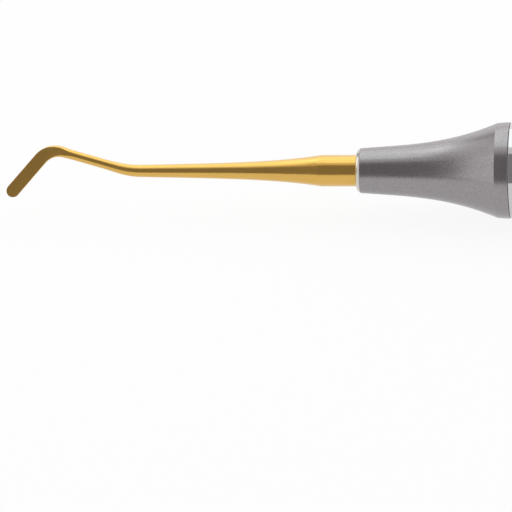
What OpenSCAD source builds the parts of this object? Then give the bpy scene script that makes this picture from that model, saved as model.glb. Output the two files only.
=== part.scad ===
// Double-ended dental elevator: two thin gilt blades on round shanks, each held
// in a flared end cone that screws into a hollow round grip.
// Millimetres, +Z up. The grip lies along X with end A at -X and end B at +X,
// and the origin is on its axis at mid length.

/* [Grip] */
// Length of the grip tube between the two end cones
grip_len = 72; // [56:1:100]
// Outside diameter of the grip tube on its plain bands
grip_d = 9; // [8.6:0.1:11]
// Inside diameter of the grip tube
grip_bore_d = 7.4; // [6.8:0.1:7.8]
// Turned finger grooves at each end of the grip
groove_count = 7; // [2:1:9]
// Distance from one finger groove to the next
groove_pitch = 2.6; // [2:0.1:3]
// Width of one finger groove at the surface
groove_w = 1.2; // [0.6:0.1:1.6]
// Depth of one finger groove
groove_depth = 0.3; // [0.15:0.05:0.4]

/* [End cones] */
// Length of an end cone from its rim to its nose
cone_len = 14.65; // [13:0.05:18]
// Diameter of the cone over its rim
rim_d = 9.12; // [9:0.02:11]
// Length of the rounded band at the rim
band_len = 1.3; // [0.8:0.1:2.5]
// Diameter where the band meets the flare
band_d = 8.96; // [8.6:0.02:9.1]
// Diameter of the nose
nose_d = 4.28; // [4.2:0.02:5.2]
// Radius of the rounded edge of the nose
nose_round = 0.55; // [0.2:0.05:0.55]
// Length of the flare from the band to where the taper runs straight
flare_len = 10.1; // [6:0.1:11]
// Growth in diameter of the straight taper over the whole cone
taper_gain = 2.02; // [0.6:0.02:2.2]

/* [Screw joint] */
// Major diameter of the stud thread
thread_d = 4; // [3.5:0.1:4.4]
// Pitch of the stud thread
thread_pitch = 0.7; // [0.5:0.05:1]
// Full turns from tight to free
thread_turns = 7; // [4:1:8]
// Radial running clearance of the stud in its plug
thread_clear = 0.06; // [0.03:0.01:0.1]
// Length of the grip plug
plug_len = 8; // [7:0.1:11]
// Diameter of the part of the stud held in the cone
stud_seat_d = 3.6; // [3:0.1:4]
// Length of the part of the stud held in the cone
stud_seat_len = 4; // [3:0.1:5]
// Length of the relief turned under the cone
relief_len = 1; // [0.8:0.1:1.4]
// Diameter of the relief turned under the cone
relief_d = 3.1; // [2.6:0.1:3.3]

/* [Seal ring] */
// Thickness of the seal ring
seal_cord_d = 0.8; // [0.6:0.05:1]
// Mean diameter of the seal ring
seal_mean_d = 5; // [4.6:0.1:5.6]
// Side clearance of the seal ring in its recess
seal_room = 0.3; // [0.2:0.05:0.4]

/* [Shanks] */
// Diameter of both shanks where they leave the cones
shank_d = 3.02; // [2.8:0.02:3.1]
// Length of shank held inside the cone
tang_len = 8; // [5:0.1:9]
// Clearance of a seated piece in its seat
seat_clear = 0.02; // [0.01:0.01:0.04]
// Angle at which the bent tips lean back from upright when the ends are screwed home
lean_angle = 28; // [-30:1:30]

/* [Tip A] */
// Straight length of shank A before its taper
collar_a = 3.3; // [2:0.1:5]
// Length of shank A from the nose of its cone to the bent arm
reach_a = 20.5; // [18:0.1:24]
// Diameter of shank A at the foot of its steep taper
waist_a = 1.85; // [1.4:0.05:2.2]
// Diameter of shank A at the bent arm
arm_a = 1.18; // [1:0.02:1.3]
// Diameter of the bent arm where it is thinnest
neck_a = 0.92; // [0.8:0.02:1.1]
// Angle of the arm above the shank line
rise_angle_a = 15.9; // [8:0.1:22]
// Length of the bent arm
arm_len_a = 7.9; // [7:0.1:10]
// Radius of the bow that lifts the arm off the shank line
bow_r_a = 9; // [6:0.5:12]
// Angle of the blade below the shank line
drop_angle_a = 48.6; // [35:0.1:60]
// Radius of the corner between arm and blade
corner_r_a = 2.1; // [1.5:0.1:2.5]
// Length of arm before the corner over which it starts to flatten
lead_a = 1.2; // [0.6:0.1:1.6]
// Length of the blade from the corner to its end
blade_len_a = 6; // [5:0.05:7]
// Width of the blade
blade_w_a = 1.28; // [1.1:0.02:1.8]
// Thickness of the blade past the corner
blade_t_a = 0.46; // [0.36:0.02:0.7]
// Thickness of the blade at its end
end_t_a = 0.36; // [0.3:0.02:0.6]

/* [Tip B] */
// Straight length of shank B before its taper
collar_b = 2.1; // [1:0.1:4]
// Length of shank B from the nose of its cone to the flattened arm
reach_b = 22.3; // [20:0.1:25]
// Diameter of shank B at the foot of its steep taper
waist_b = 1.85; // [1.6:0.05:2.2]
// Diameter of shank B at the flattened arm
arm_b = 0.96; // [0.9:0.02:1.2]
// Thickness of the arm where its flats begin
neck_b = 0.8; // [0.7:0.02:0.9]
// Length over which the flats of the arm run out into the round shank
lead_b = 1.2; // [0.6:0.1:2]
// Length of the flattened arm
arm_len_b = 7.4; // [5:0.1:9]
// Angle of the blade above the shank line
rise_angle_b = 42; // [30:0.1:55]
// Radius of the corner between arm and blade
corner_r_b = 2.5; // [1.5:0.1:3.5]
// Length of the blade from the corner to its end
blade_len_b = 7.65; // [6:0.05:9]
// Width of the blade
blade_w_b = 1.3; // [1.1:0.02:1.8]
// Thickness of the blade past the corner
blade_t_b = 0.68; // [0.4:0.02:0.8]
// Thickness of the blade at its end
end_t_b = 0.56; // [0.4:0.02:0.7]

/* [Hidden] */
$fn = 96;
thread_len = thread_turns * thread_pitch;
// Grooves are arcs cut into the surface of the tube
groove_r = (groove_w * groove_w / 4 + groove_depth * groove_depth) / (2 * groove_depth);
edge = 0.15;
face_gap = 0.02;
recess_depth = seal_cord_d + face_gap;
curve_steps = 18;
end_steps = 8;
band_steps = 5;
blade_sides = 24;
// Powers that shape the band, the flare and the hollow taper of the shanks
band_power = 1.7;
flare_power = 2.5;
hollow_power = 4;
// Squareness of a blade's section: 1 is an ellipse, smaller is flatter
blade_fill = 0.55;
// Width left at the very end of a blade, as a share of its full width
end_width = 0.3;
// Share of the closing at the end of a blade that its thickness takes part in
end_thin = 0.35;
root_lap = 0.5;
// The swept arm starts a hair inside the end of its round shank
root_step = 0.015;
quarter_turn = 90;
half_turn = 180;
full_turn = 360;
satin = [0.62, 0.61, 0.61];
polished = [0.8, 0.8, 0.82];
gilt = [0.8, 0.62, 0.24];
dark = [0.12, 0.12, 0.13];

function ease(t) = t <= 0 ? 0 : t >= 1 ? 1 : t * t * (3 - 2 * t);
function mix(a, b, t) = a + (b - a) * t;
function rad(deg) = deg * PI / half_turn;

// Places a piece drawn along +X from the end face of the grip at one end
module at_end(side) {
    rotate([0, 0, side == "a" ? half_turn : 0]) translate([grip_len / 2, 0, 0]) children();
}

// Turns a profile of [radius, station] points about the X axis
module turned(points) {
    rotate([0, quarter_turn, 0]) rotate_extrude() polygon(points);
}

module grip_tube() {
    color(polished) difference() {
        turned([[grip_bore_d / 2, -grip_len / 2],
                [grip_d / 2 - edge, -grip_len / 2],
                [grip_d / 2, edge - grip_len / 2],
                [grip_d / 2, grip_len / 2 - edge],
                [grip_d / 2 - edge, grip_len / 2],
                [grip_bore_d / 2, grip_len / 2]]);
        for (end = ["a", "b"]) at_end(end) finger_grooves();
    }
}

module finger_grooves() {
    for (i = [1 : groove_count])
        translate([-(i - 0.5) * groove_pitch, 0, 0])
            rotate([0, quarter_turn, 0]) rotate_extrude()
                translate([grip_d / 2 - groove_depth + groove_r, 0]) circle(groove_r);
}

// Threaded bush pressed into the end of the tube, open toward the cone
module plug() {
    bore_r = thread_d / 2 + thread_clear;
    plug_r = grip_bore_d / 2 - seat_clear;
    bore_end = -(thread_len + thread_pitch);
    color(polished) turned([[bore_r, -edge], [bore_r + edge, 0],
        [plug_r - edge, 0], [plug_r, -edge],
        [plug_r, edge - plug_len], [plug_r - edge, -plug_len],
        [0, -plug_len], [0, bore_end], [bore_r, bore_end]]);
}

// Threaded stud that holds the cone on the grip; its far part sits in the cone
module stud() {
    color(polished) turned([[0, -thread_len],
        [thread_d / 2 - thread_pitch / 2, -thread_len],
        [thread_d / 2, thread_pitch / 2 - thread_len],
        [thread_d / 2, -relief_len - edge],
        [relief_d / 2, -relief_len],
        [relief_d / 2, recess_depth],
        [stud_seat_d / 2, recess_depth],
        [stud_seat_d / 2, recess_depth + stud_seat_len],
        [0, recess_depth + stud_seat_len]]);
}

// Soft ring in the back of the cone, pressed against the plug
module seal() {
    color(dark) translate([seal_cord_d / 2 + face_gap, 0, 0]) rotate([0, quarter_turn, 0])
        rotate_extrude() translate([seal_mean_d / 2, 0])
            circle(seal_cord_d / 2 - face_gap / 2);
}

// Radius of the cone at a station measured from its rim
function band_r(x) = mix(rim_d, band_d, pow((x - edge) / (band_len - edge), band_power)) / 2;
function taper_r(x) = nose_d / 2 + taper_gain / 2 * (1 - x / (cone_len - nose_round));
flare_gain = band_d / 2 - taper_r(band_len);
function flare_r(x) = taper_r(x)
    + flare_gain * pow(max(0, 1 - (x - band_len) / flare_len), flare_power);

module cone() {
    band = [for (i = [0 : band_steps - 1])
        let (x = mix(edge, band_len, i / band_steps)) [band_r(x), x]];
    flare = [for (i = [0 : curve_steps])
        let (x = band_len + flare_len * i / curve_steps) [flare_r(x), x]];
    nose = [for (i = [0 : end_steps])
        let (a = quarter_turn * i / end_steps)
        [nose_d / 2 - nose_round * (1 - cos(a)), cone_len - nose_round * (1 - sin(a))]];
    tang_r = shank_d / 2 + seat_clear;
    tang_end = cone_len - tang_len - seat_clear;
    color(satin) difference() {
        turned(concat([[0, face_gap], [rim_d / 2 - edge, face_gap]], band, flare, nose,
                      [[0, cone_len]]));
        turned([[0, 0], [seal_mean_d / 2 + seal_cord_d / 2 + seal_room, 0],
                [seal_mean_d / 2 + seal_cord_d / 2 + seal_room, recess_depth + face_gap],
                [0, recess_depth + face_gap]]);
        turned([[0, 0], [stud_seat_d / 2 + seat_clear, 0],
                [stud_seat_d / 2 + seat_clear, recess_depth + stud_seat_len + seat_clear],
                [0, recess_depth + stud_seat_len + seat_clear]]);
        turned([[0, tang_end], [tang_r, tang_end],
                [tang_r, cone_len + edge], [0, cone_len + edge]]);
    }
}

// Round shank from its seat in the cone to the root of the bent arm:
// a straight collar, a steep hollow taper, then a slow one
function shank_r(t, waist, arm) =
    mix(waist, arm, t) / 2 + (shank_d - waist) / 2 * pow(1 - t, hollow_power);

module shank(collar, reach, waist, arm) {
    taper = [for (i = [0 : curve_steps])
        [shank_r(i / curve_steps, waist, arm),
         cone_len + mix(collar, reach, i / curve_steps)]];
    turned(concat([[0, cone_len - tang_len], [shank_d / 2 - edge, cone_len - tang_len],
                   [shank_d / 2, cone_len - tang_len + edge]],
                  taper, [[0, cone_len + reach]]));
}

// Place and heading at distance s along a run of [length, turn] pieces
function walk(runs, s, i = 0, p = [0, 0], h = 0) =
    let (run = runs[i][0], turn = runs[i][1],
         last = i == len(runs) - 1,
         d = last ? s : min(s, run),
         a = turn * d / run,
         r = turn == 0 ? 0 : run / rad(turn),
         q = turn == 0 ? p + d * [cos(h), sin(h)]
                       : p + r * [sin(h + a) - sin(h), cos(h) - cos(h + a)])
    last || s <= run ? [q, h + a] : walk(runs, s - run, i + 1, q, h + a);

// Arm and blade swept as one skin along a path in the XZ plane. The round root
// thins to a neck and turns into a flat section that thins further to its end;
// edge_on lays its width across the path plane.
module blade(runs, total, arm, neck, neck_at, width, thick, thin, flat_from, flat_to, edge_on) {
    round_from = total - width / 2;
    stations = concat(
        [for (i = [0 : 2 * curve_steps]) round_from * i / (2 * curve_steps)],
        [for (i = [1 : end_steps]) round_from + width / 2 * sin(quarter_turn * i / end_steps)]);
    rings = [for (s = stations)
        let (at = walk(runs, s),
             flat = ease((s - flat_from) / (flat_to - flat_from)),
             bar = mix(arm - 2 * root_step, neck, ease(s / neck_at)),
             plate = mix(thick, thin, ease((s - flat_to) / (total - flat_to))),
             over = max(0, s - round_from) / (width / 2),
             close = max(end_width, sqrt(max(0, 1 - over * over))),
             w = mix(bar, width, flat) / 2 * close,
             t = mix(bar, plate, flat) / 2 * mix(1, close, end_thin),
             fill = mix(1, blade_fill, flat))
        [for (j = [0 : blade_sides - 1])
            let (a = full_turn * j / blade_sides,
                 u = w * sign(cos(a)) * pow(abs(cos(a)), fill),
                 v = t * sign(sin(a)) * pow(abs(sin(a)), fill),
                 n = edge_on ? v : u,
                 y = edge_on ? -u : v)
            [at[0][0] - n * sin(at[1]), y, at[0][1] + n * cos(at[1])]]];
    count = len(rings);
    skin = [for (i = [0 : count - 2], j = [0 : blade_sides - 1])
        let (a = i * blade_sides + j, b = i * blade_sides + (j + 1) % blade_sides)
        each [[a, b, b + blade_sides], [a, b + blade_sides, a + blade_sides]]];
    near = [[for (j = [0 : blade_sides - 1]) blade_sides - 1 - j]];
    far = [[for (j = [0 : blade_sides - 1]) (count - 1) * blade_sides + j]];
    polyhedron([for (ring = rings) each ring], concat(skin, near, far));
}

// Lengths along the middle of the arm and blade, with each corner rounded
bow_len_a = bow_r_a * rad(rise_angle_a);
cut_bow_a = bow_r_a * tan(rise_angle_a / 2);
turn_a = rise_angle_a + drop_angle_a;
bend_len_a = corner_r_a * rad(turn_a);
cut_a = corner_r_a * tan(turn_a / 2);
runs_a = [[root_lap, 0], [bow_len_a, rise_angle_a],
          [arm_len_a - cut_bow_a - cut_a, 0], [bend_len_a, -turn_a],
          [blade_len_a - cut_a, 0]];
total_a = runs_a[0][0] + runs_a[1][0] + runs_a[2][0] + runs_a[3][0] + runs_a[4][0];
corner_at_a = runs_a[0][0] + runs_a[1][0] + runs_a[2][0];

bend_len_b = corner_r_b * rad(rise_angle_b);
cut_b = corner_r_b * tan(rise_angle_b / 2);
runs_b = [[root_lap + arm_len_b - cut_b, 0], [bend_len_b, rise_angle_b],
          [blade_len_b - cut_b, 0]];
total_b = runs_b[0][0] + runs_b[1][0] + runs_b[2][0];

module tip_a() {
    color(gilt) rotate([-lean_angle, 0, 0]) at_end("a") union() {
        shank(collar_a, reach_a, waist_a, arm_a);
        translate([cone_len + reach_a - root_lap, 0, 0])
            blade(runs_a, total_a, arm_a, neck_a, corner_at_a / 2, blade_w_a, blade_t_a, end_t_a,
                  corner_at_a - lead_a, corner_at_a + bend_len_a, false);
    }
}

module tip_b() {
    color(gilt) rotate([-lean_angle, 0, 0]) at_end("b") union() {
        shank(collar_b, reach_b, waist_b, arm_b);
        translate([cone_len + reach_b - root_lap, 0, 0])
            blade(runs_b, total_b, arm_b, neck_b, root_lap + lead_b, blade_w_b, blade_t_b, end_t_b,
                  root_lap, root_lap + arm_len_b, true);
    }
}

module plug_a() { at_end("a") plug(); }
module plug_b() { at_end("b") plug(); }
module seal_a() { at_end("a") seal(); }
module seal_b() { at_end("b") seal(); }
module stud_a() { at_end("a") stud(); }
module stud_b() { at_end("b") stud(); }
module cone_a() { at_end("a") cone(); }
module cone_b() { at_end("b") cone(); }

grip_tube();
plug_a();
plug_b();
seal_a();
seal_b();
stud_a();
stud_b();
cone_a();
cone_b();
tip_a();
tip_b();
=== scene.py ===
"""Double-ended dental elevator: two gilt blades in satin end cones on a polished grip."""
import math

import bpy
from mathutils import Matrix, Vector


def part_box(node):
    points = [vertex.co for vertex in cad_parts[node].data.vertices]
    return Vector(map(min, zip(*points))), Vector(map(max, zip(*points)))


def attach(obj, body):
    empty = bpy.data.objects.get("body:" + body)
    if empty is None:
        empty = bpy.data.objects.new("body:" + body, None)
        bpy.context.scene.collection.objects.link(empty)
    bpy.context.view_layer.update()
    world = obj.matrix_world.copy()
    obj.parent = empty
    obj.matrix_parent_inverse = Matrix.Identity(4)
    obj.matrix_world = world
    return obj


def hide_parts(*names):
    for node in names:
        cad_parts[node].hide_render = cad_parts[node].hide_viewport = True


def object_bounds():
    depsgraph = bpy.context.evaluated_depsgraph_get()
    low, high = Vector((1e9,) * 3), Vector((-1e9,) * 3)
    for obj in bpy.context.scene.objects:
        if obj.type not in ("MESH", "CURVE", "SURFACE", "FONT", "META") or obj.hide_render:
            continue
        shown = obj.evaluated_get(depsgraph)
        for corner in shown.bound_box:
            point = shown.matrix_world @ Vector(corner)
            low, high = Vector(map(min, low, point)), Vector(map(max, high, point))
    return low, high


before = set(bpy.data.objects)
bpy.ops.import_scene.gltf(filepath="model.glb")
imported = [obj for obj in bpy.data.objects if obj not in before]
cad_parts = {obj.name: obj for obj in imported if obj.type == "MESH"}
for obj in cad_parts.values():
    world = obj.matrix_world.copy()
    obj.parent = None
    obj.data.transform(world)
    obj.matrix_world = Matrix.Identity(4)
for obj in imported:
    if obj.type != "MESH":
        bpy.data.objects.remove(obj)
cad_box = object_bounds()


# The grip tube
# A round stainless tube, turned, polished to a mirror and cut with seven finger
# grooves near each end. The blasted grooves are duller than the lands between them.
MM = 0.001
GRIP_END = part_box("grip_tube")[1][0]
GRIP_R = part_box("grip_tube")[1][2]
GRIP_BORE_R = 3.7 * MM
GROOVE_COUNT = 7
GROOVE_PITCH = 2.6 * MM
GROOVE_HALF = 0.6 * MM
GROOVE_DEPTH = 0.3 * MM
GROOVE_STEPS = 12
POLISH_DEPTH = 0.02 * MM
BLAST_DEPTH = 0.08 * MM
TUBE_EDGE = 0.06 * MM
EDGE_STEPS = 6
LATHE_STEPS = 128
LATHE_CREASE = 24
WELD = MM / 10000


def arc(centre, radius, first, last, steps):
    """Points of an arc in (station, radius), from one angle to another in degrees."""
    angles = [math.radians(first + (last - first) * i / steps) for i in range(steps + 1)]
    return [(centre[0] + radius * math.cos(a), centre[1] + radius * math.sin(a)) for a in angles]


def turn_on_lathe(name, outline, crease=LATHE_CREASE):
    """Merges a plane to a point, draws it out along (station, radius) points and spins it about X.

    Edges sharper than the crease, in degrees, stay hard."""
    bpy.ops.object.select_all(action="DESELECT")
    bpy.ops.mesh.primitive_plane_add(size=MM)
    piece = bpy.context.object
    piece.name = piece.data.name = name
    bpy.ops.object.mode_set(mode="EDIT")
    bpy.ops.mesh.select_all(action="SELECT")
    bpy.ops.mesh.merge(type="CENTER")
    bpy.ops.transform.translate(value=(outline[0][0], 0, outline[0][1]))
    for (x0, r0), (x1, r1) in zip(outline, outline[1:]):
        bpy.ops.mesh.extrude_vertices_move(
            TRANSFORM_OT_translate={"value": (x1 - x0, 0, r1 - r0)})
    bpy.ops.mesh.select_all(action="SELECT")
    bpy.ops.mesh.spin(steps=LATHE_STEPS, angle=2 * math.pi, center=(0, 0, 0), axis=(1, 0, 0))
    bpy.ops.mesh.select_all(action="SELECT")
    bpy.ops.mesh.remove_doubles(threshold=WELD)
    bpy.ops.mesh.normals_make_consistent(inside=False)
    bpy.ops.object.mode_set(mode="OBJECT")
    bpy.ops.object.shade_smooth_by_angle(angle=math.radians(crease))
    return piece


def new_finish(name):
    """A node material and its shader."""
    finish = bpy.data.materials.new(name)
    finish.use_nodes = True
    return finish, finish.node_tree.nodes["Principled BSDF"]


def add_node(finish, kind, inputs, output=0, **settings):
    """Adds a node, sets its inputs to numbers or links them, and returns one of its outputs."""
    made = finish.node_tree.nodes.new(kind)
    for setting, value in settings.items():
        setattr(made, setting, value)
    for socket, value in inputs.items():
        if isinstance(value, bpy.types.NodeSocket):
            finish.node_tree.links.new(value, made.inputs[socket])
        else:
            made.inputs[socket].default_value = value
    return made.outputs[output]


def object_place(finish):
    """The place of a point on its piece."""
    return add_node(finish, "ShaderNodeTexCoord", {}, "Object")


def distance_from_axis(finish, place):
    """Distance of a point from the X axis."""
    across = add_node(finish, "ShaderNodeVectorMath", {0: place, 1: (0, 1, 1)},
                      operation="MULTIPLY")
    return add_node(finish, "ShaderNodeVectorMath", {0: across}, "Value", operation="LENGTH")


def mottle(finish, place, per_metre, detail, **inputs):
    """Cloudy marks of a given fineness."""
    return add_node(finish, "ShaderNodeTexNoise",
                    {"Vector": place, "Scale": per_metre, "Detail": detail, **inputs})


def rings(finish, distance, per_metre, detail):
    """Fine lines that follow one distance, as a tool leaves them on turned work."""
    return add_node(finish, "ShaderNodeTexNoise",
                    {"W": distance, "Scale": per_metre, "Detail": detail},
                    noise_dimensions="1D")


def lathe_lines(finish, place, per_metre):
    """Fine rings round the X axis, as a turning or polishing wheel leaves them."""
    along = add_node(finish, "ShaderNodeSeparateXYZ", {"Vector": place})
    return rings(finish, along, per_metre, detail=4.0)


def spread(finish, amount, between, onto):
    """Maps an amount that lies between two values onto another range."""
    return add_node(finish, "ShaderNodeMapRange",
                    {"Value": amount, "From Min": between[0], "From Max": between[1],
                     "To Min": onto[0], "To Max": onto[1]})


def emboss(finish, height, strength, depth):
    """Raises marks on the surface."""
    return add_node(finish, "ShaderNodeBump",
                    {"Height": height, "Strength": strength, "Distance": depth})


def tint(finish, amount, dark, light):
    """Colours that run from dark to light with an amount from 0 to 1."""
    ramp = finish.node_tree.nodes.new("ShaderNodeValToRGB")
    ramp.color_ramp.elements[0].color = (*dark, 1)
    ramp.color_ramp.elements[1].color = (*light, 1)
    finish.node_tree.links.new(amount, ramp.inputs["Fac"])
    return ramp.outputs["Color"]


def dress(finish, shader, colour, roughness, normal):
    """Links the made colour, roughness and relief to the shader."""
    links = finish.node_tree.links
    links.new(colour, shader.inputs["Base Color"])
    links.new(roughness, shader.inputs["Roughness"])
    links.new(normal, shader.inputs["Normal"])


def grip_outline():
    """Half section of the tube, closed, with its grooves cut as arcs."""
    arc_r = (GROOVE_HALF ** 2 + GROOVE_DEPTH ** 2) / (2 * GROOVE_DEPTH)
    half_angle = math.degrees(math.asin(GROOVE_HALF / arc_r))
    outside = []
    for i in reversed(range(GROOVE_COUNT)):
        centre = (GRIP_END - (i + 0.5) * GROOVE_PITCH, GRIP_R - GROOVE_DEPTH + arc_r)
        outside += arc(centre, arc_r, -90 - half_angle, -90 + half_angle, GROOVE_STEPS)
    corner = (GRIP_END - TUBE_EDGE, GRIP_R - TUBE_EDGE)
    outside += arc(corner, TUBE_EDGE, 90, 0, EDGE_STEPS)
    right = outside + [(GRIP_END, GRIP_BORE_R)]
    left = [(-x, r) for x, r in reversed(right)]
    return left + right + left[:1]


grip = turn_on_lathe("grip", grip_outline())

mirror_steel, shader = new_finish("mirror_steel")
shader.inputs["Metallic"].default_value = 1.0
place = object_place(mirror_steel)
handling = mottle(mirror_steel, place, per_metre=160.0, detail=5.0)
lines = lathe_lines(mirror_steel, place, per_metre=5200.0)
blasted = spread(mirror_steel, distance_from_axis(mirror_steel, place),
                 between=(GRIP_R - POLISH_DEPTH, GRIP_R - BLAST_DEPTH), onto=(0.0, 0.3))
wiped = spread(mirror_steel, handling, between=(0.35, 0.7), onto=(0.06, 0.13))
dress(mirror_steel, shader,
      colour=tint(mirror_steel, handling, dark=(0.52, 0.52, 0.53), light=(0.63, 0.63, 0.63)),
      roughness=add_node(mirror_steel, "ShaderNodeMath", {0: blasted, 1: wiped}, operation="ADD"),
      normal=emboss(mirror_steel, lines, strength=0.12, depth=0.004 * MM))
grip.data.materials.append(mirror_steel)
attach(grip, "handle")
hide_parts("grip_tube")


# The plugs
# Two threaded steel bushes pressed flush into the ends of the tube. Only their
# faces show, when an end is unscrewed. They are turned and left as cut.
turned_steel, shader = new_finish("turned_steel")
shader.inputs["Metallic"].default_value = 1.0
place = object_place(turned_steel)
cut_marks = lathe_lines(turned_steel, place, per_metre=9000.0)
face_marks = rings(turned_steel, distance_from_axis(turned_steel, place),
                   per_metre=12000.0, detail=3.0)
marks = add_node(turned_steel, "ShaderNodeMath", {0: cut_marks, 1: face_marks},
                 operation="MULTIPLY")
dress(turned_steel, shader,
      colour=tint(turned_steel, marks, dark=(0.47, 0.47, 0.48), light=(0.64, 0.64, 0.64)),
      roughness=spread(turned_steel, marks, between=(0.1, 0.45), onto=(0.2, 0.34)),
      normal=emboss(turned_steel, marks, strength=0.35, depth=0.006 * MM))
for name in ("plug_a", "plug_b"):
    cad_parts[name].material_slots[0].material = turned_steel


# The studs
# A turned steel stud fixed in the back of each cone, with a right-hand thread of
# 0.7 mm pitch, a relief under the cone and a chamfer to start it in its plug.
THREAD_R = 2.0 * MM
THREAD_PITCH = 0.7 * MM
THREAD_DEPTH = 0.38 * MM
THREAD_FLANK = 0.44
THREAD_LEN = 4.9 * MM
THREAD_CHAMFER = 0.35 * MM
THREAD_RUN_OFF = 0.15 * MM
THREAD_STEPS = 14
CUT_FROM = 0.01 * MM
CUT_SHORT = 0.1 * MM
RELIEF_LEN = 1.0 * MM
RELIEF_R = 1.55 * MM
STUD_SEAT_R = 1.8 * MM
STUD_SEAT_FROM = 0.82 * MM
STUD_SEAT_LEN = 4.0 * MM


def cut_thread(piece, first, last):
    """Cuts a right-hand V thread into the round blank between two stations."""
    run_out = THREAD_PITCH / 2
    for vertex in piece.data.vertices:
        x, y, z = vertex.co
        if first < x < last:
            turn = (x / THREAD_PITCH - math.atan2(z, y) / (2 * math.pi)) % 1
            depth = THREAD_DEPTH * max(0, 1 - abs(turn - 0.5) / THREAD_FLANK)
            depth *= min(1, (x - first) / run_out, (last - x) / run_out)
            radius = math.hypot(y, z)
            cut = min(radius, THREAD_R - depth) / radius
            vertex.co = (x, y * cut, z * cut)


def copy_to_end_a(piece, name):
    """Copies a piece of end B to end A, half a turn about the upright axis."""
    bpy.ops.object.select_all(action="DESELECT")
    piece.select_set(True)
    bpy.context.view_layer.objects.active = piece
    bpy.ops.object.duplicate(linked=False)
    copy = bpy.context.object
    copy.name = copy.data.name = name
    bpy.ops.transform.rotate(value=math.pi, orient_axis="Z", center_override=(0, 0, 0))
    bpy.ops.object.transform_apply(location=True, rotation=True, scale=True)
    return copy


thread_start = GRIP_END - THREAD_LEN
thread_end = GRIP_END - RELIEF_LEN
seat_start = GRIP_END + STUD_SEAT_FROM
seat_end = seat_start + STUD_SEAT_LEN
turn_step = THREAD_PITCH / THREAD_STEPS
turn_count = int((THREAD_LEN - RELIEF_LEN - THREAD_CHAMFER - THREAD_RUN_OFF) / turn_step)
turns = [(thread_start + THREAD_CHAMFER + i * turn_step, THREAD_R) for i in range(turn_count)]
stud_b = turn_on_lathe("stud_b", [
    (thread_start, 0), (thread_start, THREAD_R - THREAD_CHAMFER), *turns,
    (thread_end - THREAD_RUN_OFF, THREAD_R), (thread_end, RELIEF_R), (seat_start, RELIEF_R),
    (seat_start, STUD_SEAT_R), (seat_end, STUD_SEAT_R), (seat_end, 0)])
cut_thread(stud_b, thread_start + CUT_FROM, thread_end - CUT_SHORT)
stud_b.data.materials.append(turned_steel)
stud_a = copy_to_end_a(stud_b, "stud_a.001")
for stud, body, node in ((stud_a, "end_a", "stud_a"), (stud_b, "end_b", "stud_b")):
    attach(stud, body)
    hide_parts(node)


# The seal rings
# Soft black silicone rings, moulded, lying in the back of each cone and pressed
# on the plug when the end is screwed home.
silicone, shader = new_finish("silicone")
bloom = mottle(silicone, object_place(silicone), per_metre=900.0, detail=4.0)
dress(silicone, shader,
      colour=tint(silicone, bloom, dark=(0.012, 0.012, 0.013), light=(0.035, 0.035, 0.036)),
      roughness=spread(silicone, bloom, between=(0.3, 0.7), onto=(0.42, 0.6)),
      normal=emboss(silicone, bloom, strength=0.2, depth=0.01 * MM))
for name in ("seal_a", "seal_b"):
    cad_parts[name].material_slots[0].material = silicone


# The end cones
# Turned stainless cones, bead-blasted to a fine satin grain: a rounded band at the
# rim, a crease, a hollow flare, then a slow taper to a nose bored for the shank. The
# rounded edge of the nose is polished smoother, and its lighter, warm colour is a
# painted highlight and a painted reflection of the gold shank.
CONE_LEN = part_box("cone_b")[1][0] - GRIP_END
RIM_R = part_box("cone_b")[1][2]
BACK_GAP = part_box("cone_b")[0][0] - GRIP_END
RIM_EDGE = 0.06 * MM
RIM_STEPS = 16
BAND_LEN = 1.3 * MM
BAND_R = 4.48 * MM
BAND_POWER = 1.7
BAND_STEPS = 12
FLARE_LEN = 10.1 * MM
FLARE_POWER = 2.5
FLARE_STEPS = 48
TAPER_GAIN = 1.01 * MM
NOSE_R = 2.14 * MM
NOSE_ROUND = 0.55 * MM
NOSE_STEPS = 18
# Width of the polished nose edge, whose lighter, warm colour is a painted highlight.
POLISHED_PAINTED_HIGHLIGHT_WIDTH = 0.36 * MM
BORE_EDGE = 0.01 * MM
RECESS_R = 3.2 * MM
RECESS_DEPTH = 0.84 * MM
STUD_BORE_R = 1.82 * MM
STUD_BORE_END = 4.84 * MM
TANG_BORE_R = 1.53 * MM
TANG_BORE_FROM = 6.63 * MM
CONE_CREASE = 7


def cone_outline():
    """Half section of a cone from the foot of its stud bore round to its shank bore."""
    straight = CONE_LEN - NOSE_ROUND
    band_from = BACK_GAP + RIM_EDGE

    def band(x):
        """Radius of the rounded band."""
        share = (x - RIM_EDGE) / (BAND_LEN - RIM_EDGE)
        return RIM_R + (BAND_R - RIM_R) * share ** BAND_POWER

    def taper(x):
        """Radius of the plain taper, which runs from the rim to the nose."""
        return NOSE_R + TAPER_GAIN * (1 - x / straight)

    def flare(x):
        """Radius of the taper with the hollow flare on it."""
        left = max(0, 1 - (x - BAND_LEN) / FLARE_LEN)
        return taper(x) + (BAND_R - taper(BAND_LEN)) * left ** FLARE_POWER

    points = [(STUD_BORE_END, 0), (STUD_BORE_END, STUD_BORE_R), (RECESS_DEPTH, STUD_BORE_R),
              (RECESS_DEPTH, RECESS_R), (BACK_GAP, RECESS_R)]
    points += arc((band_from, RIM_R - RIM_EDGE), RIM_EDGE, 180, 90, RIM_STEPS)
    for i in range(1, BAND_STEPS):
        x = band_from + (BAND_LEN - band_from) * i / BAND_STEPS
        points.append((x, band(x)))
    for i in range(FLARE_STEPS + 1):
        x = BAND_LEN + (straight - BAND_LEN) * i / FLARE_STEPS
        points.append((x, flare(x)))
    points += arc((straight, NOSE_R - NOSE_ROUND), NOSE_ROUND, 90, 0, NOSE_STEPS)[1:]
    points += [(CONE_LEN, TANG_BORE_R), (TANG_BORE_FROM, TANG_BORE_R), (TANG_BORE_FROM, 0)]
    return [(GRIP_END + x, r) for x, r in points]


cone_b = turn_on_lathe("cone_b", cone_outline(), CONE_CREASE)

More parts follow.
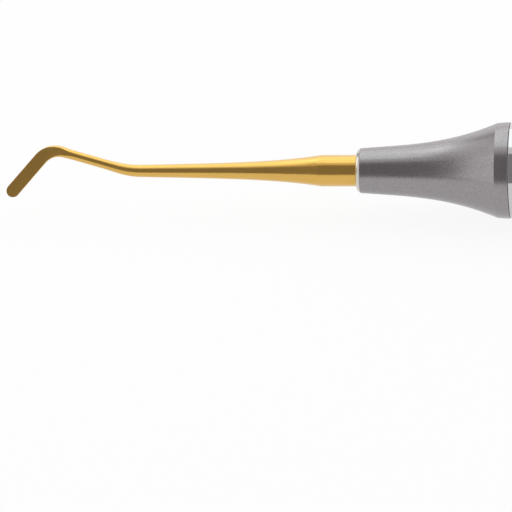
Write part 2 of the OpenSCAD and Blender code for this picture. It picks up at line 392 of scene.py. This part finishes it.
satin_steel, shader = new_finish("satin_steel")
shader.inputs["Metallic"].default_value = 1.0
place = object_place(satin_steel)
grain = mottle(satin_steel, place, per_metre=7000.0, detail=3.0, Roughness=0.6)
pits = spread(satin_steel, grain, between=(0.3, 0.7), onto=(0.0, 1.0))
cloud = mottle(satin_steel, place, per_metre=420.0, detail=3.0)
dress(satin_steel, shader,
      colour=tint(satin_steel, pits, dark=(0.265, 0.249, 0.254), light=(0.345, 0.325, 0.331)),
      roughness=spread(satin_steel, cloud, between=(0.3, 0.7), onto=(0.23, 0.29)),
      normal=emboss(satin_steel, grain, strength=0.35, depth=0.012 * MM))
cone_b.data.materials.append(satin_steel)

# The nose edge: real polish in its lower roughness, but its lighter, cream base colour is a
# painted highlight and a painted reflection of the gold shank.
polished_edge_painted_highlight, shader = new_finish("polished_edge_painted_highlight")
shader.inputs["Metallic"].default_value = 1.0
wheel = lathe_lines(polished_edge_painted_highlight, object_place(polished_edge_painted_highlight), per_metre=14000.0)
dress(polished_edge_painted_highlight, shader,
      colour=tint(polished_edge_painted_highlight, wheel, dark=(0.58, 0.555, 0.505), light=(0.68, 0.65, 0.59)),
      roughness=spread(polished_edge_painted_highlight, wheel, between=(0.3, 0.7), onto=(0.2, 0.28)),
      normal=emboss(polished_edge_painted_highlight, wheel, strength=0.15, depth=0.004 * MM))
cone_b.data.materials.append(polished_edge_painted_highlight)
polished_painted_highlight_slot = len(cone_b.data.materials) - 1
polished_painted_highlight_from = GRIP_END + CONE_LEN - POLISHED_PAINTED_HIGHLIGHT_WIDTH
for face in cone_b.data.polygons:
    outside_bore = math.hypot(face.center.y, face.center.z) > TANG_BORE_R + BORE_EDGE
    if face.center.x > polished_painted_highlight_from and outside_bore:
        face.material_index = polished_painted_highlight_slot

cone_a = copy_to_end_a(cone_b, "cone_a.001")
for cone, body, node in ((cone_a, "end_a", "cone_a"), (cone_b, "end_b", "cone_b")):
    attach(cone, body)
    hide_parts(node)


# Tip A
# One piece of forged steel: a round shank drawn down to a thin arm, bowed up and
# bent sharply down, its end ground flat on both sides to a round-ended blade and
# coated gold. The shank's tang is fixed in the cone.
SHANK_FROM = GRIP_END + CONE_LEN
SHANK_R = 1.51 * MM
SHANK_SIDES = 160
TANG_LEN = 8.0 * MM
TANG_EDGE = 0.15 * MM
TAPER_POWER = 4
TAPER_STEPS = 32
ARM_STEPS = 72
BLADE_END_STEPS = 12
BLADE_END_FLAT = 0.06
BLADE_END_THIN = 0.6
TIP_LEAN = math.radians(28.0)
TIP_CREASE = 24
ACROSS, UPRIGHT = 1, 2


def draw_out(name, sections):
    """Draws a round bar along X through (station, half height, half depth) sections."""
    x, height, depth = sections[0]
    bpy.ops.object.select_all(action="DESELECT")
    bpy.ops.mesh.primitive_circle_add(vertices=SHANK_SIDES, radius=1.0, fill_type="NGON",
                                      rotation=(0, math.pi / 2, 0))
    piece = bpy.context.object
    piece.name = piece.data.name = name
    bpy.ops.object.transform_apply(location=True, rotation=True, scale=True)
    bpy.ops.object.mode_set(mode="EDIT")
    bpy.ops.mesh.select_all(action="SELECT")
    bpy.ops.transform.resize(value=(1, depth, height), center_override=(0, 0, 0))
    bpy.ops.transform.translate(value=(x, 0, 0))
    for (x0, h0, d0), (x1, h1, d1) in zip(sections, sections[1:]):
        bpy.ops.mesh.extrude_region_move(TRANSFORM_OT_translate={"value": (x1 - x0, 0, 0)})
        bpy.ops.transform.resize(value=(1, d1 / d0, h1 / h0), center_override=(x1, 0, 0))
    bpy.ops.mesh.select_all(action="SELECT")
    bpy.ops.mesh.normals_make_consistent(inside=False)
    bpy.ops.object.mode_set(mode="OBJECT")
    return piece


def ease(t):
    """A smooth step from 0 to 1."""
    t = max(0.0, min(1.0, t))
    return t * t * (3 - 2 * t)


def shank_sections(collar, reach, waist_r, arm_r):
    """Tang, collar and hollow taper of a shank, down to its arm."""
    tang_from = SHANK_FROM - TANG_LEN
    sections = [(tang_from, SHANK_R - TANG_EDGE), (tang_from + TANG_EDGE, SHANK_R),
                (SHANK_FROM, SHANK_R)]
    for i in range(TAPER_STEPS + 1):
        t = i / TAPER_STEPS
        hollow = (SHANK_R - waist_r) * (1 - t) ** TAPER_POWER
        radius = waist_r + (arm_r - waist_r) * t + hollow
        sections.append((SHANK_FROM + collar + (reach - collar) * t, radius))
    return [(x, r, r) for x, r in sections]


def blade_sections(first, last, arm_r, neck_r, neck_at, flat_from, flat_to, half_width, half_bar):
    """Arm and blade past the taper: the round arm thins to its neck and is then beaten wide."""
    round_from = last - half_width
    sections = []
    for i in range(1, ARM_STEPS + 1):
        x = first + (round_from - first) * i / ARM_STEPS
        bar = arm_r + (neck_r - arm_r) * ease((x - first) / (neck_at - first))
        flat = ease((x - flat_from) / (flat_to - flat_from))
        sections.append((x, bar + (half_width - bar) * flat, bar + (half_bar - bar) * flat))
    for i in range(1, BLADE_END_STEPS + 1):
        angle = math.pi / 2 * i / BLADE_END_STEPS
        close = max(BLADE_END_FLAT, math.cos(angle))
        sections.append((round_from + half_width * math.sin(angle), half_width * close,
                         half_bar * (BLADE_END_THIN + (1 - BLADE_END_THIN) * close)))
    return sections


def grind_flats(piece, axis, limit):
    """Grinds two faces of the bar down to a half thickness that depends on the station."""
    for vertex in piece.data.vertices:
        half = limit(vertex.co.x)
        vertex.co[axis] = max(-half, min(half, vertex.co[axis]))


def keep_blank(piece):
    """Keeps the straight bar's coordinates, which the polishing lines follow round the bends."""
    blank = piece.data.attributes.new("blank", "FLOAT_VECTOR", "POINT")
    for vertex in piece.data.vertices:
        blank.data[vertex.index].vector = vertex.co


def bend_bar(piece, start, radius, degrees):
    """Bends all that lies past a station about the Y axis, up where the angle is positive."""
    side = math.copysign(1, degrees)
    whole = math.radians(abs(degrees))
    for vertex in piece.data.vertices:
        over = vertex.co.x - start
        if over > 0:
            turn = min(over / radius, whole)
            rest = max(0.0, over - radius * whole)
            arm = radius - side * vertex.co.z
            vertex.co.x = start + arm * math.sin(turn) + rest * math.cos(turn)
            vertex.co.z = side * (radius - arm * math.cos(turn) + rest * math.sin(turn))


COLLAR_A = 3.3 * MM
REACH_A = 20.5 * MM
WAIST_R_A = 0.925 * MM
ARM_LEN_A = 7.9 * MM
ARM_R_A = 0.59 * MM
NECK_R_A = 0.46 * MM
BOW_R_A = 9.0 * MM
RISE_A = 15.9
DROP_A = 48.6
CORNER_R_A = 2.1 * MM
CORNER_A = RISE_A + DROP_A
LEAD_A = 1.2 * MM
BLADE_LEN_A = 6.0 * MM
BLADE_HALF_A = 0.64 * MM
BAR_HALF_A = 0.6 * MM
FLAT_HALF_A = 0.23 * MM
END_HALF_A = 0.18 * MM
POLISH_STROKES = (0.05, 1.0, 1.0)

bow_cut = BOW_R_A * math.tan(math.radians(RISE_A / 2))
corner_cut = CORNER_R_A * math.tan(math.radians(CORNER_A / 2))
arm_start = SHANK_FROM + REACH_A
bow_end = arm_start + BOW_R_A * math.radians(RISE_A)
corner_start = bow_end + ARM_LEN_A - bow_cut - corner_cut
corner_end = corner_start + CORNER_R_A * math.radians(CORNER_A)
blade_end = corner_end + BLADE_LEN_A - corner_cut
flat_start = corner_start - LEAD_A


def blade_a_half(x):
    """Half thickness that the grinding wheel leaves on blade A at a station."""
    if x < flat_start:
        return SHANK_R
    along = ease((x - corner_end) / (blade_end - corner_end))
    ground = FLAT_HALF_A + (END_HALF_A - FLAT_HALF_A) * along
    return ground + (NECK_R_A - ground) * (1 - ease((x - flat_start) / (corner_end - flat_start)))


tip_a = draw_out("tip_a.001", shank_sections(COLLAR_A, REACH_A, WAIST_R_A, ARM_R_A)
                 + blade_sections(first=arm_start, last=blade_end, arm_r=ARM_R_A, neck_r=NECK_R_A,
                                  neck_at=(arm_start + corner_start) / 2, flat_from=flat_start,
                                  flat_to=corner_end, half_width=BLADE_HALF_A,
                                  half_bar=BAR_HALF_A))
grind_flats(tip_a, ACROSS, blade_a_half)
keep_blank(tip_a)
bend_bar(tip_a, corner_start, CORNER_R_A, -CORNER_A)
bend_bar(tip_a, arm_start, BOW_R_A, RISE_A)
tip_a.rotation_euler = (0, 0, math.pi)
bpy.ops.object.transform_apply(location=True, rotation=True, scale=True)
tip_a.rotation_euler = (-TIP_LEAN, 0, 0)
bpy.ops.object.transform_apply(location=True, rotation=True, scale=True)
bpy.ops.object.shade_smooth_by_angle(angle=math.radians(TIP_CREASE))

gilt, shader = new_finish("gilt")
shader.inputs["Metallic"].default_value = 1.0
shader.inputs["Coat Weight"].default_value = 0.8
shader.inputs["Coat Roughness"].default_value = 0.15
bar = add_node(gilt, "ShaderNodeAttribute", {}, "Vector", attribute_name="blank")
stretched = add_node(gilt, "ShaderNodeMapping", {"Vector": bar, "Scale": POLISH_STROKES})
polish = mottle(gilt, stretched, per_metre=9000.0, detail=4.0)
hue = mottle(gilt, bar, per_metre=260.0, detail=3.0)
dress(gilt, shader,
      colour=tint(gilt, hue, dark=(0.625, 0.37, 0.068), light=(0.725, 0.44, 0.085)),
      roughness=spread(gilt, polish, between=(0.3, 0.7), onto=(0.16, 0.25)),
      normal=emboss(gilt, polish, strength=0.12, depth=0.004 * MM))
tip_a.data.materials.append(gilt)
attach(tip_a, "end_a")
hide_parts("tip_a")


# Tip B
# The same forging with a longer shank, its arm flattened and bent up once, so that
# its blade lies across the plane of the bend. It is coated gold and fixed as tip A is.
COLLAR_B = 2.1 * MM
REACH_B = 22.3 * MM
WAIST_R_B = 0.925 * MM
ARM_LEN_B = 7.4 * MM
ARM_R_B = 0.48 * MM
NECK_R_B = 0.4 * MM
LEAD_B = 1.2 * MM
CORNER_R_B = 2.5 * MM
RISE_B = 42.0
BLADE_LEN_B = 7.65 * MM
BLADE_HALF_B = 0.65 * MM
BAR_HALF_B = 0.45 * MM
FLAT_HALF_B = 0.34 * MM
END_HALF_B = 0.28 * MM

corner_cut = CORNER_R_B * math.tan(math.radians(RISE_B / 2))
arm_start = SHANK_FROM + REACH_B
corner_start = arm_start + ARM_LEN_B - corner_cut
corner_end = corner_start + CORNER_R_B * math.radians(RISE_B)
blade_end = corner_end + BLADE_LEN_B - corner_cut
flat_end = arm_start + ARM_LEN_B


def blade_b_half(x):
    """Half thickness that the grinding wheel leaves on blade B at a station."""
    if x < arm_start:
        return SHANK_R
    along = ease((x - flat_end) / (blade_end - flat_end))
    ground = FLAT_HALF_B + (END_HALF_B - FLAT_HALF_B) * along
    return ground + (ARM_R_B - ground) * (1 - ease((x - arm_start) / (flat_end - arm_start)))


on_edge = blade_sections(first=arm_start, last=blade_end, arm_r=ARM_R_B, neck_r=NECK_R_B,
                         neck_at=arm_start + LEAD_B, flat_from=arm_start, flat_to=flat_end,
                         half_width=BLADE_HALF_B, half_bar=BAR_HALF_B)
tip_b = draw_out("tip_b.001", shank_sections(COLLAR_B, REACH_B, WAIST_R_B, ARM_R_B)
                 + [(x, depth, height) for x, height, depth in on_edge])
grind_flats(tip_b, UPRIGHT, blade_b_half)
keep_blank(tip_b)
bend_bar(tip_b, corner_start, CORNER_R_B, RISE_B)
tip_b.rotation_euler = (-TIP_LEAN, 0, 0)
bpy.ops.object.transform_apply(location=True, rotation=True, scale=True)
bpy.ops.object.shade_smooth_by_angle(angle=math.radians(TIP_CREASE))
tip_b.data.materials.append(gilt)
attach(tip_b, "end_b")
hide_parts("tip_b")


# The table
# A plain white sheet that the instrument lies on, wide enough to fill every view. It
# glows where it is seen, so that it stays white in the picture and in the steel.
TABLE_R = 20.0
TABLE_SIDES = 96
SHEET_WHITE = (0.94, 0.94, 0.94)
GLOW_SHARE = 0.9

bpy.ops.object.select_all(action="DESELECT")
bpy.ops.mesh.primitive_circle_add(vertices=TABLE_SIDES, radius=TABLE_R, fill_type="NGON",
                                  location=(0, 0, cad_box[0][2]))
table = bpy.context.object
table.name = "table"
white_sheet, shader = new_finish("white_sheet")
shader.inputs["Base Color"].default_value = (*SHEET_WHITE, 1)
shader.inputs["Roughness"].default_value = 0.9
shader.inputs["Specular IOR Level"].default_value = 0.0
sheet_nodes = white_sheet.node_tree.nodes
rays = sheet_nodes.new("ShaderNodeLightPath").outputs
seen = add_node(white_sheet, "ShaderNodeMath",
                {0: rays["Is Camera Ray"], 1: rays["Is Glossy Ray"]}, operation="MAXIMUM")
seen = add_node(white_sheet, "ShaderNodeMath",
                {0: seen, 1: rays["Is Transmission Ray"]}, operation="MAXIMUM")
share = add_node(white_sheet, "ShaderNodeMath", {0: seen, 1: GLOW_SHARE}, operation="MULTIPLY")
glow = add_node(white_sheet, "ShaderNodeEmission", {"Strength": 1.0})
whitened = add_node(white_sheet, "ShaderNodeMixShader",
                    {0: share, 1: shader.outputs["BSDF"], 2: glow})
white_sheet.node_tree.links.new(whitened, sheet_nodes["Material Output"].inputs["Surface"])
table.data.materials.append(white_sheet)


# The light
# A cool softbox overhead, a dimmer one before its front edge, a wide one behind and a
# few at either end, in a dim room. The dark front gives the round pieces a dark band,
# which the leaning boxes in front of either end cut off squarely on a cone's flare.
ROOM_COLOUR = (0.294, 0.276, 0.275)
COOL_WHITE = (0.93, 1.0, 1.0)

room = bpy.data.worlds.new("room")
room.use_nodes = True
room.node_tree.nodes["Background"].inputs["Color"].default_value = (*ROOM_COLOUR, 1)
bpy.context.scene.world = room


def hang_softbox(name, place, wide, high, radiance, colour=(1, 1, 1), lean=0):
    """An oblong lamp turned towards the instrument, leaning by an angle in degrees."""
    lamp = bpy.data.lights.new(name, "AREA")
    lamp.shape = "RECTANGLE"
    lamp.size = wide
    lamp.size_y = high
    lamp.energy = radiance * math.pi * wide * high
    lamp.color = colour
    hung = bpy.data.objects.new(name, lamp)
    hung.location = place
    facing = hung.location.to_track_quat("Z", "Y").to_matrix()
    hung.rotation_euler = (facing @ Matrix.Rotation(math.radians(lean), 3, "Z")).to_euler()
    hung.visible_camera = False
    bpy.context.scene.collection.objects.link(hung)


hang_softbox("overhead", (0, 0.323, 0.559), wide=0.64, high=0.75, radiance=1.37,
             colour=COOL_WHITE)
hang_softbox("overhead_edge", (0, -0.097, 0.612), wide=0.7, high=0.19, radiance=0.55)
hang_softbox("back", (0, 0.75, 0.2), wide=1.2, high=0.45, radiance=0.9)
hang_softbox("left", (-0.532, -0.319, 0.226), wide=0.4, high=0.62, radiance=0.86, lean=32)
hang_softbox("strip_left", (-0.63, 0.22, 0.17), wide=0.38, high=0.4, radiance=1.4)
hang_softbox("upper_left", (-0.48, 0.17, 0.57), wide=0.8, high=0.34, radiance=0.75)
hang_softbox("right", (0.532, -0.319, 0.226), wide=0.4, high=0.62, radiance=0.86, lean=-32)
hang_softbox("upper_right", (0.48, 0.17, 0.57), wide=0.8, high=0.34, radiance=0.75)


# The camera
# A long lens that looks down on one end of the instrument, as large as in the
# photograph and from a little towards the middle of the grip. It is rolled so that
# the grip lies level in the picture.
FRAME_WIDTH = 48.96 * MM
CAMERA_AWAY = 0.68
CAMERA_TURN = math.radians(7.5)
CAMERA_LIFT = math.radians(32.0)
CAMERA_ROLL = -math.atan(math.tan(CAMERA_TURN) * math.sin(CAMERA_LIFT))
AIM = (-60.82 * MM, 0, -9.56 * MM)

lens = bpy.data.cameras.new("camera")
lens.sensor_width = 36.0
lens.lens = lens.sensor_width * CAMERA_AWAY / FRAME_WIDTH
lens.clip_start = 0.01
lens.clip_end = 100.0
camera = bpy.data.objects.new("camera", lens)
bpy.context.scene.collection.objects.link(camera)
camera.matrix_world = (Matrix.Translation(AIM) @ Matrix.Rotation(CAMERA_TURN, 4, "Z")
                       @ Matrix.Rotation(math.pi / 2 - CAMERA_LIFT, 4, "X")
                       @ Matrix.Rotation(CAMERA_ROLL, 4, "Z")
                       @ Matrix.Translation((0, 0, CAMERA_AWAY)))
bpy.context.scene.camera = camera
bpy.context.scene.view_settings.view_transform = "Standard"
